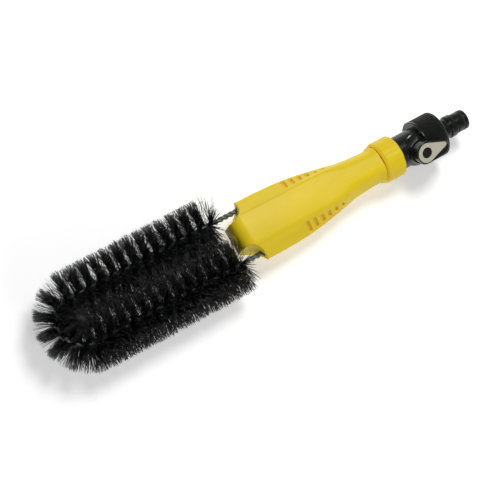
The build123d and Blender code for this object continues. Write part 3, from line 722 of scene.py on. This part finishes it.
# ---- Turned pieces ------------------------------------------------------------------------------
def collar(settings, material):
    """The ring nut behind the handle, with shallow flutes and a flared front, darkened by painted shade at
    its front.
    """
    front, rear, radius = COLLAR_LOW.x, COLLAR_HIGH.x, COLLAR_HIGH.y
    flare, flare_drop = 2.4 * MM, 1.35 * MM
    thread, pipe_hole, flange_room = 12.8 * MM, 13.3 * MM, 14.3 * MM
    wall_x, thread_x = rear - 2.5 * MM, rear - 8.0 * MM
    outline = rounded_path(
        [(front, thread), (front, radius - flare_drop), (front + flare, radius), (rear, radius),
         (rear, pipe_hole)],
        [0.6 * MM, 3.2 * MM, 0.7 * MM], 120,
    )
    lining = [(wall_x, pipe_hole), (wall_x, flange_room), (thread_x, flange_room), (thread_x, thread)]

    outside = radius - 1.8 * MM

    def flutes(x, here, angles):
        if here < outside:
            return 0.0
        share = smooth_step(x, front + flare, front + flare * 1.8)
        wave = (0.5 + 0.5 * np.cos(angles * settings.collar_flutes)) ** 3
        return -share * settings.flute_depth * wave

    piece = turned_piece("collar", [*outline, *lining], settings.segments, material, "collar",
                         "collar_plastic", ["collar_nut"], flutes)
    places = np.array([vertex.co.x for vertex in piece.data.vertices])
    # Painted shade where the collar's front meets the handle: darkest at the front edge, gone 3.4 mm back.
    front_shade = 0.7
    add_values(piece, "recess", front_shade - front_shade * smooth_step(places, front, front + 3.4 * MM))
    sharpen(piece, math.radians(50))
    return piece


def union_nut(settings, material):
    """The ribbed nut, with rounded rib ends behind a smooth front rim."""
    front, rear, radius = NUT_LOW.x, NUT_HIGH.x, NUT_HIGH.y
    bore, plug_hole, wall_x = 13.28 * MM, 8.4 * MM, rear - 3.0 * MM
    outline = rounded_path(
        [(front, bore), (front, radius), (rear, radius), (rear, plug_hole)], [0.8 * MM, 1.6 * MM], 170
    )
    profile = [*outline, (wall_x, plug_hole), (wall_x, bore)]

    outside = radius - 1.6 * MM

    def ribs(x, here, angles):
        if here < outside:
            return 0.0
        begin = smooth_step(x, front + 1.9 * MM, front + 2.6 * MM)
        ends = begin * smooth_step(-x, -rear + 0.9 * MM, -rear + 2.2 * MM)
        wave = np.clip(0.45 + 0.9 * np.cos(angles * settings.nut_ribs), 0, 1)
        return -ends * settings.rib_height * wave

    rib_columns = 10
    piece = turned_piece("ribbed_nut", profile, settings.nut_ribs * rib_columns, material, "union",
                         "black_plastic", ["union_nut"], ribs)
    sharpen(piece, math.radians(70))
    return piece


# Place along the tool, radius and rounding of the plug's corners, in millimetres: the ridge, the
# locking groove, the sealing barrel and the O-ring groove.
PLUG_CORNERS = (
    (-11.1, 8.2, 0.4), (-11.1, 7.4, 0.3), (-9.7, 7.4, 0.4), (-9.7, 8.9, 0.7), (-4.9, 8.9, 0.7),
    (-4.1, 8.1, 0.4), (-4.1, 7.1, 0.3), (-2.5, 7.1, 0.3), (-2.5, 8.0, 0.3), (2.5, 8.0, 0.3),
    (2.5, 6.6, 0.2), (4.3, 6.6, 0.2), (4.3, 8.0, 0.3),
)


def hose_plug(material):
    """The quick-connect plug: flange, neck, locking ridge and groove, sealing barrel and bored tip."""
    front, tip = PLUG_LOW.x, PLUG_HIGH.x
    bore, flange, neck, barrel = 4.5 * MM, 13.0 * MM, 8.2 * MM, 8.0 * MM
    neck_x, tip_chamfer = front + 3.0 * MM, (0.7 * MM, 7.2 * MM)
    edge, tip_edge = 0.3 * MM, 0.6 * MM
    path = [(front, bore), (front, flange), (neck_x, flange), (neck_x, neck)]
    path += [(x * MM, radius * MM) for x, radius, _ in PLUG_CORNERS]
    path += [(tip - tip_chamfer[0], barrel), (tip, tip_chamfer[1]), (tip, bore)]
    radii = [edge] * 3 + [radius * MM for _, _, radius in PLUG_CORNERS] + [tip_edge] * 2
    outline = rounded_path(path, radii, 420)
    piece = turned_piece("quick_plug", outline, 128, material, "tool", "black_plastic", ["hose_plug"])
    sharpen(piece, math.radians(60))
    return piece


def nozzle(material):
    """The spray insert in the nose: a plain disc with a rounded rim."""
    radius, stand = 6.3 * MM, 0.35 * MM
    front, rear = NOZZLE_LOW.x - stand, NOZZLE_HIGH.x
    outline = rounded_path([(front, 0), (front, radius), (rear, radius), (rear, 0)], [0.5 * MM, 0.2 * MM], 80)
    points = np.array(outline)
    piece = turned_piece("nozzle", [(front, 0), *points[1:-1], (rear, 0)], 96, material, "tool",
                         "handle_plastic", ["spray_nozzle"])
    # No painted shade on the nozzle.
    add_values(piece, "recess", np.zeros(len(piece.data.vertices)))
    sharpen(piece, math.radians(50))
    return piece


# ---- Wire and bristles --------------------------------------------------------------------------
WIRE_END_X = WIRE_HIGH.x
STRAIGHT = WIRE_END_X - LOOP_CENTRE_X
BEND = math.pi * LEG_Y
WIRE_LENGTH = 2 * STRAIGHT + BEND
BRISTLES_START = WIRE_END_X - NEAR_HIGH.x
BRISTLES_END = WIRE_LENGTH - (WIRE_END_X - FAR_HIGH.x)
STRAND_SWELL = 1.2          # strand radius over the distance from the pair's centre to its own
ROOT_DEPTH = 0.7            # filament's root from the pair's centre, over the strand radius
STRAY = 3.0                 # scatter of a loose filament over that of the others
TIP_LEAN = (0.04, 0.03)     # lean towards the head's tip, and its scatter
LEAST_LENGTH = 0.6
FREE_END = 4.0 * MM         # how far filaments may lean past the head's rear end
LEVELS = np.array([0.0, 0.4, 0.75, 1.0])
FILAMENT_SIDES = 3


def wire_frame(travelled):
    """Centre and outward direction of the loop at distances along it, in the loop's plane."""
    travelled = np.asarray(travelled, float)
    angle = np.clip((travelled - STRAIGHT) / LEG_Y, 0, math.pi)
    x = LOOP_CENTRE_X - LEG_Y * np.sin(angle)
    x = x + np.maximum(STRAIGHT - travelled, 0) + np.maximum(travelled - STRAIGHT - BEND, 0)
    y = -LEG_Y * np.cos(angle)
    flat = np.zeros_like(x)
    centre = np.stack((x, y, flat), -1)
    outward = np.stack((-np.sin(angle), -np.cos(angle), flat), -1)
    return centre, outward


def twist_angle(settings, travelled):
    """Turn of the twisted pair at a distance along the loop: quick where bare, slow in the bristles."""
    travelled = np.asarray(travelled, float)
    quick, slow = 2 * math.pi / settings.bare_pitch, 2 * math.pi / settings.brush_pitch
    brushed = np.clip(travelled, BRISTLES_START, BRISTLES_END) - BRISTLES_START
    bare = travelled - BRISTLES_START - brushed
    return quick * bare + slow * brushed


def wire_strand(name, phase, settings, material, node):
    """One strand, wound round the loop's centre line."""
    count = int(WIRE_LENGTH / settings.step)
    travelled = np.linspace(0, WIRE_LENGTH, count)
    centre, outward = wire_frame(travelled)
    turn = twist_angle(settings, travelled) + phase
    line = centre + STRAND_RADIUS * (np.cos(turn)[:, None] * outward + np.sin(turn)[:, None] * UP)
    tangent = np.gradient(line, axis=0)
    tangent /= np.linalg.norm(tangent, axis=1)[:, None]
    first = np.cross(tangent, UP)
    first /= np.linalg.norm(first, axis=1)[:, None]
    second = np.cross(tangent, first)
    angles = np.linspace(0, 2 * math.pi, settings.sides, endpoint=False)[None, :, None]
    rings = line[:, None] + STRAND_RADIUS * STRAND_SWELL * (
        np.cos(angles) * first[:, None] + np.sin(angles) * second[:, None]
    )
    faces = grid_faces(count, settings.sides, True)
    faces.append(tuple(range(settings.sides))[::-1])
    last = (count - 1) * settings.sides
    faces.append(tuple(range(last, last + settings.sides)))
    return mesh_piece(name, rings.reshape(-1, 3), faces, material, "tool", "coated_wire", node)


def filament_mesh(roots, directions, sways, lengths, settings):
    """Thin three-sided filaments, slightly bent, as points and faces."""
    count = len(roots)
    askew = np.array([0.31, 0.45, 0.84])
    across = np.cross(directions, askew)
    across /= np.linalg.norm(across, axis=1)[:, None]
    beside = np.cross(directions, across)
    points = np.zeros((count, len(LEVELS), FILAMENT_SIDES, 3))
    for row, level in enumerate(LEVELS):
        line = roots + directions * (lengths * level)[:, None] + sways * level ** 2
        radius = settings.thickness / 2 * (1 + (settings.tip_share - 1) * level)
        for corner in range(FILAMENT_SIDES):
            angle = 2 * math.pi * corner / FILAMENT_SIDES
            points[:, row, corner] = line + radius * (math.cos(angle) * across + math.sin(angle) * beside)
    each = len(LEVELS) * FILAMENT_SIDES
    quads = np.array(grid_faces(len(LEVELS), FILAMENT_SIDES, True))
    base = (np.arange(count) * each)[:, None, None]
    faces = (base + quads[None]).reshape(-1, 4)
    caps = base[:, 0] + np.arange(each - FILAMENT_SIDES, each)[None]
    return points.reshape(-1, 3), [*map(tuple, faces), *map(tuple, caps)]


def head_reach(directions, outwards):
    """Distance from the wire to the head's outline, which differs at the near side, far side and tip."""
    outness = np.clip((directions * outwards).sum(1), 0, 1)
    near_reach, far_reach = -NEAR_LOW.y - LEG_Y, FAR_HIGH.y - LEG_Y
    reach = (near_reach + far_reach) / 2 + (far_reach - near_reach) / 2 * outwards[:, 1]
    tip_share = np.abs(outwards[:, 0]) * outness
    return reach * (1 - tip_share) + (WIRE_LOW.x - TIP_LOW.x + STRAND_RADIUS) * tip_share


def bristle_run(name, span, looser, settings, wire, material, node, generator):
    """Filaments held in the wire over a span of it, both arms of each."""
    count = int((span[1] - span[0]) * settings.per_metre)
    travelled = generator.uniform(*span, count)
    centre, outward = wire_frame(travelled)
    loose = np.where(generator.uniform(0, 1, count) < settings.loose * looser, STRAY, 1.0)
    scatter = generator.normal(0, settings.spread, count) * loose
    turn = math.pi / 2 - twist_angle(wire, travelled) + scatter
    lean = generator.normal(0, settings.lean, count)
    across = np.cos(turn)[:, None] * outward + np.sin(turn)[:, None] * UP
    ways = np.concatenate((across, -across))
    leans = np.concatenate((lean, -lean)) + generator.normal(*TIP_LEAN, 2 * count)
    directions = ways * np.cos(leans)[:, None] + np.sin(leans)[:, None] * np.array([-1.0, 0.0, 0.0])
    directions /= np.linalg.norm(directions, axis=1)[:, None]
    reach = head_reach(directions, np.concatenate((outward, outward)))
    shorter = 1 - np.abs(generator.normal(0, settings.ragged, 2 * count))
    lengths = reach * np.clip(shorter, LEAST_LENGTH, 1.0)
    sways = generator.normal(0, settings.bend / 2, (2 * count, 3))
    root = STRAND_RADIUS * ROOT_DEPTH
    roots = np.concatenate((centre, centre)) + ways * root
    points, faces = filament_mesh(roots, directions, sways, lengths - root, settings)
    low = np.array([TIP_LOW.x, NEAR_LOW.y, TIP_LOW.z])
    high = np.array([NEAR_HIGH.x + FREE_END, FAR_HIGH.y, TIP_HIGH.z])
    piece = mesh_piece(name, np.clip(points, low, high), faces, material, "tool", "bristle_nylon", node)
    tones = generator.uniform(0, 1, 2 * count) ** 2
    add_values(piece, "tone", np.repeat(tones, len(LEVELS) * FILAMENT_SIDES))
    return piece


# ---- Operators ----------------------------------------------------------------------------------
class BRUSH_OT_handle(bpy.types.Operator):
    """Build the two handle shells and the spray nozzle"""
    bl_idname = "wheel_brush.handle"
    bl_label = "Handle"

    def execute(self, context):
        scene = context.scene
        plastic = yellow_plastic(scene.brush_finish)
        handle_shell("grip_top", 1, scene.brush_handle, plastic, "handle_top_shell")
        handle_shell("grip_bottom", -1, scene.brush_handle, plastic, "handle_bottom_shell")
        nozzle(plastic)
        return {"FINISHED"}


class BRUSH_OT_collar(bpy.types.Operator):
    """Build the ring nut behind the handle"""
    bl_idname = "wheel_brush.collar"
    bl_label = "Collar"

    def execute(self, context):
        collar(context.scene.brush_turned, yellow_plastic(context.scene.brush_finish))
        return {"FINISHED"}


class BRUSH_OT_valve(bpy.types.Operator):
    """Finish the valve body, the lever and the pieces that turn with it"""
    bl_idname = "wheel_brush.valve"
    bl_label = "Valve and lever"

    def execute(self, context):
        finish = context.scene.brush_finish
        black = black_plastic(finish)
        paint(black, "valve_body", "seat_retainer", "valve_stem", "lever", "lever_cap")
        paint(inlay_plastic(finish), "lever_inlay")
        return {"FINISHED"}


class BRUSH_OT_nut(bpy.types.Operator):
    """Build the ribbed union nut"""
    bl_idname = "wheel_brush.nut"
    bl_label = "Union nut"

    def execute(self, context):
        union_nut(context.scene.brush_turned, black_plastic(context.scene.brush_finish))
        return {"FINISHED"}


class BRUSH_OT_plug(bpy.types.Operator):
    """Build the quick-connect hose plug"""
    bl_idname = "wheel_brush.plug"
    bl_label = "Hose plug"

    def execute(self, context):
        hose_plug(black_plastic(context.scene.brush_finish))
        return {"FINISHED"}


class BRUSH_OT_wire(bpy.types.Operator):
    """Build the two twisted strands of the loop"""
    bl_idname = "wheel_brush.wire"
    bl_label = "Wire loop"

    def execute(self, context):
        coat = coated_wire(context.scene.brush_finish)
        settings = context.scene.brush_wire
        wire_strand("strand_a", 0.0, settings, coat, "wire_strand_a")
        wire_strand("strand_b", math.pi, settings, coat, "wire_strand_b")
        return {"FINISHED"}


class BRUSH_OT_bristles(bpy.types.Operator):
    """Build the filaments of the near leg, the tip and the far leg"""
    bl_idname = "wheel_brush.bristles"
    bl_label = "Bristles"

    def execute(self, context):
        scene = context.scene
        nylon = nylon_filament(scene.brush_finish)
        generator = np.random.default_rng(scene.brush_bristles.seed)
        bend_end = STRAIGHT + BEND
        for name, start, end, looser, node in (
            ("bristles_near", BRISTLES_START, STRAIGHT, 3.8, "near_leg_bristles"),
            ("bristles_tip", STRAIGHT, bend_end, 1.8, "tip_bristles"),
            ("bristles_far", bend_end, BRISTLES_END, 1.0, "far_leg_bristles"),
        ):
            bristle_run(
                name, (start, end), looser, scene.brush_bristles, scene.brush_wire, nylon, node, generator
            )
        return {"FINISHED"}


class BRUSH_OT_inner(bpy.types.Operator):
    """Finish the pieces inside the handle and the valve"""
    bl_idname = "wheel_brush.inner"
    bl_label = "Inner pieces"

    def execute(self, context):
        steel, rubber = plated_steel(), seal_rubber()
        paint(steel, "handle_screws", "near_wire_ferrule", "far_wire_ferrule", "lever_screw", "valve_ball")
        paint(rubber, "tube_seals", "pipe_gasket", "stem_o_rings", "plug_gasket", "plug_o_ring")
        paint(pale_plastic(), "water_tube", "front_ball_seat", "rear_ball_seat")
        return {"FINISHED"}


class BRUSH_OT_stage(bpy.types.Operator):
    """Set the camera, the lights and the floor"""
    bl_idname = "wheel_brush.stage"
    bl_label = "Stage"

    def execute(self, context):
        set_camera(context.scene.brush_stage)
        set_lights(context.scene.brush_stage)
        set_floor()
        return {"FINISHED"}


def paint(material, *nodes):
    """Gives carried-over pieces a finish."""
    for name in nodes:
        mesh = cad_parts[name].data
        mesh.materials.clear()
        mesh.materials.append(material)


SENSOR_WIDTH = 36.0
CLIP_RANGE = (0.05, 50.0)
SKY_RISE = (0.05, 0.6)
# Offset from the middle of the brush, and width of each lamp, in metres.
LAMPS = {
    "key": ((0.28, 0.30, 0.92), 0.42),
    "fill": ((-0.1, -0.95, 0.55), 0.5),
    "glint": ((-0.85, -0.1, 0.70), 0.09),
}
FLOOR_SHADE, FLOOR_GLOW = 0.80, 0.42
FLOOR_DROP = 0.5 * MM
FLOOR_REACH = 6.0


def set_camera(stage):
    """A long lens from above the near front, rolled as the tool lies in the view."""
    azimuth, elevation = stage.azimuth, stage.elevation
    back = Vector((
        math.sin(azimuth) * math.cos(elevation), -math.cos(azimuth) * math.cos(elevation), math.sin(elevation)
    ))
    upright = (Vector((0, 0, 1)) - back * back.z).normalized()
    side = upright.cross(back)
    up = math.cos(stage.roll) * upright + math.sin(stage.roll) * side
    right = up.cross(back)
    data = bpy.data.cameras.new("camera")
    data.lens, data.sensor_width = stage.lens, SENSOR_WIDTH
    data.clip_start, data.clip_end = CLIP_RANGE
    camera = bpy.data.objects.new("camera", data)
    turn = Matrix((right, up, back)).transposed().to_4x4()
    camera.matrix_world = Matrix.Translation(Vector(stage.aim) + back * stage.distance) @ turn
    bpy.context.scene.collection.objects.link(camera)
    bpy.context.scene.camera = camera


def area_light(name, place, target, size, power):
    """A round lamp that faces a target."""
    data = bpy.data.lights.new(name, "AREA")
    data.shape, data.size, data.energy = "DISK", size, power
    lamp = bpy.data.objects.new(name, data)
    lamp.location = place
    lamp.rotation_mode = "QUATERNION"
    lamp.rotation_quaternion = (Vector(place) - Vector(target)).to_track_quat("Z", "Y")
    bpy.context.scene.collection.objects.link(lamp)


def set_lights(stage):
    """A dim sky that brightens towards the horizon, a soft key, a fill and a small bright lamp."""
    scene = bpy.context.scene
    sky = Shader(bpy.data.worlds.new("studio"), "Background")
    place = sky.node("ShaderNodeTexCoord", {}, {})
    height = sky.node("ShaderNodeSeparateXYZ", {}, {"Vector": place}, output=2)
    strength = sky.node("ShaderNodeMapRange", {}, {
        "Value": height, "From Min": SKY_RISE[0], "From Max": SKY_RISE[1],
        "To Min": stage.horizon, "To Max": stage.overhead,
    })
    scene.world = sky.set(Color=(1.0, 1.0, 1.0), Strength=strength)
    scene.view_settings.view_transform = "Standard"
    middle = (CAD_BOX[0] + CAD_BOX[1]) / 2
    for name, (offset, size) in LAMPS.items():
        area_light(name, middle + Vector(offset), middle, size, getattr(stage, name))


def set_floor():
    """A wide pale floor under the bristles."""
    material = new_material("floor").set(
        Base_Color=(FLOOR_SHADE,) * 3, Roughness=0.9, Specular_IOR_Level=0.0,
        Emission_Color=(1.0, 1.0, 1.0), Emission_Strength=FLOOR_GLOW,
    )
    low = CAD_BOX[0].z - FLOOR_DROP
    corners = ((-1, -1), (1, -1), (1, 1), (-1, 1))
    mesh = bpy.data.meshes.new("floor")
    mesh.from_pydata([(x * FLOOR_REACH, y * FLOOR_REACH, low) for x, y in corners], [], [(0, 1, 2, 3)])
    mesh.materials.append(material)
    floor = bpy.data.objects.new("floor", mesh)
    bpy.context.scene.collection.objects.link(floor)


class BRUSH_PT_panel(bpy.types.Panel):
    """Buttons that build the wheel brush"""
    bl_idname = "BRUSH_PT_panel"
    bl_label = "Wheel Brush"
    bl_space_type = "VIEW_3D"
    bl_region_type = "UI"
    bl_category = "Wheel Brush"

    def draw(self, context):
        for operator in OPERATORS:
            self.layout.operator(operator.bl_idname)


OPERATORS = (
    BRUSH_OT_stage, BRUSH_OT_handle, BRUSH_OT_collar, BRUSH_OT_valve, BRUSH_OT_nut, BRUSH_OT_plug,
    BRUSH_OT_wire, BRUSH_OT_bristles, BRUSH_OT_inner,
)
SETTINGS = {
    "brush_handle": HandleSettings,
    "brush_turned": TurnedSettings,
    "brush_wire": WireSettings,
    "brush_bristles": BristleSettings,
    "brush_finish": FinishSettings,
    "brush_stage": StageSettings,
}


def register():
    for settings in SETTINGS.values():
        bpy.utils.register_class(settings)
    for name, settings in SETTINGS.items():
        setattr(bpy.types.Scene, name, PointerProperty(type=settings))
    for shown in (*OPERATORS, BRUSH_PT_panel):
        bpy.utils.register_class(shown)


def unregister():
    for shown in (BRUSH_PT_panel, *reversed(OPERATORS)):
        bpy.utils.unregister_class(shown)
    for name, settings in SETTINGS.items():
        delattr(bpy.types.Scene, name)
        bpy.utils.unregister_class(settings)


def main():
    register()
    bpy.ops.wheel_brush.stage()
    bpy.ops.wheel_brush.handle()
    bpy.ops.wheel_brush.collar()
    bpy.ops.wheel_brush.valve()
    bpy.ops.wheel_brush.nut()
    bpy.ops.wheel_brush.plug()
    bpy.ops.wheel_brush.wire()
    bpy.ops.wheel_brush.bristles()
    bpy.ops.wheel_brush.inner()


if __name__ == "__main__":
    main()
